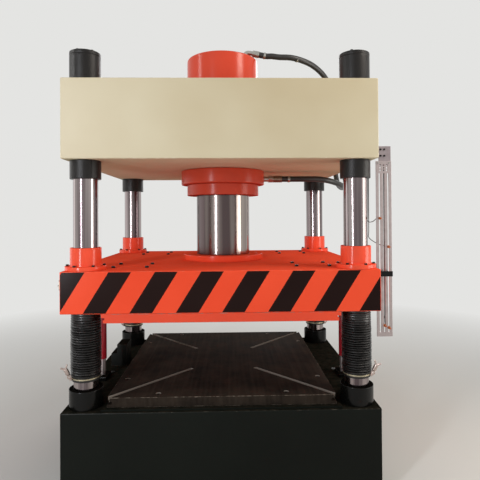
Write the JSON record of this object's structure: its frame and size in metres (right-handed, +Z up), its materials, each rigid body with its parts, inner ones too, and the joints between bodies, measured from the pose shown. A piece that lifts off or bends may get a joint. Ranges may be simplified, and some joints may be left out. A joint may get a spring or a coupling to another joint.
{
  "type": "hydraulic press",
  "caption": "Hydraulic press: box bed, crown and slide on round columns, a central cylinder and ram, pleated column covers, a slotted bolster and a switch rail.",
  "frame": {"origin": "on the floor under the press axis, at the centre of the bed's underside", "axes": "+X to the operator's right, +Y to the back, +Z up along the ram"},
  "size_m": [2.0856, 1.61, 3.0054],
  "materials": {
    "bed_paint": "worn dark green-black paint",
    "machined_steel": "machined and dulled",
    "chrome": "hard chrome, ground",
    "cream_paint": "gloss machine enamel",
    "black_paint": "gloss enamel over rough castings",
    "orange_paint": "gloss orange-red machine enamel",
    "bronze": "turned bronze",
    "seal": "moulded sealing compound",
    "zinc": "zinc plated",
    "hose_rubber": "smooth hose cover",
    "grey_steel": "plain machined steel",
    "copper": "turned brass sensor body",
    "red_tube": "gloss red enamel",
    "bellows_rubber": "rubberised fabric, matt"
  },
  "bodies": {
    "frame": {"bed": "bed_paint", "bolster": "machined_steel", "column_front_left": "chrome", "column_front_right": "chrome", "column_back_left": "chrome", "column_back_right": "chrome", "crown": "cream_paint", "top_nut_front_left": "black_paint", "top_nut_front_right": "black_paint", "top_nut_back_left": "black_paint", "top_nut_back_right": "black_paint", "crown_nut_front_left": "black_paint", "crown_nut_front_right": "black_paint", "crown_nut_back_left": "black_paint", "crown_nut_back_right": "black_paint", "bed_nut_front_left": "black_paint", "bed_nut_front_right": "black_paint", "bed_nut_back_left": "black_paint", "bed_nut_back_right": "black_paint", "stop_base_left": "black_paint", "stop_base_right": "black_paint", "step_block": "black_paint", "cylinder_barrel": "orange_paint", "cylinder_ring_nut": "orange_paint", "cylinder_gland": "orange_paint", "gland_bush": "bronze", "gland_seal": "seal", "top_port_elbow": "zinc", "flange_port": "zinc", "bellows_clamp_front_left": "zinc", "bellows_clamp_front_right": "zinc", "bellows_clamp_back_left": "zinc", "bellows_clamp_back_right": "zinc", "top_hose": "hose_rubber", "lower_hose": "hose_rubber", "sensor_lead": "hose_rubber", "port_block": "grey_steel", "switch_rail": "grey_steel", "stop_rod_left": "grey_steel", "stop_rod_right": "grey_steel", "sensor_upper": "copper", "sensor_middle": "copper", "sensor_lower": "copper", "bellows_front_left": "bellows_rubber", "bellows_front_right": "bellows_rubber", "bellows_back_left": "bellows_rubber", "bellows_back_right": "bellows_rubber"},
    "slide": {"slide": "orange_paint", "die_plate": "orange_paint", "ram": "chrome", "piston_seal": "seal", "ram_ring": "orange_paint", "slide_side_cap": "orange_paint", "switch_trigger": "black_paint", "stop_sleeve_left": "red_tube", "stop_sleeve_right": "red_tube", "guide_bush_front_left": "orange_paint", "guide_bush_front_right": "orange_paint", "guide_bush_back_left": "orange_paint", "guide_bush_back_right": "orange_paint"}
  },
  "joints": [
    {"name": "slide_travel", "type": "slide", "parent": "frame", "child": "slide", "axis": [0, 0, 1], "range_m": [-0.1, 0.4], "deforming": ["bellows_front_left", "bellows_front_right", "bellows_back_left", "bellows_back_right"]}
  ]
}
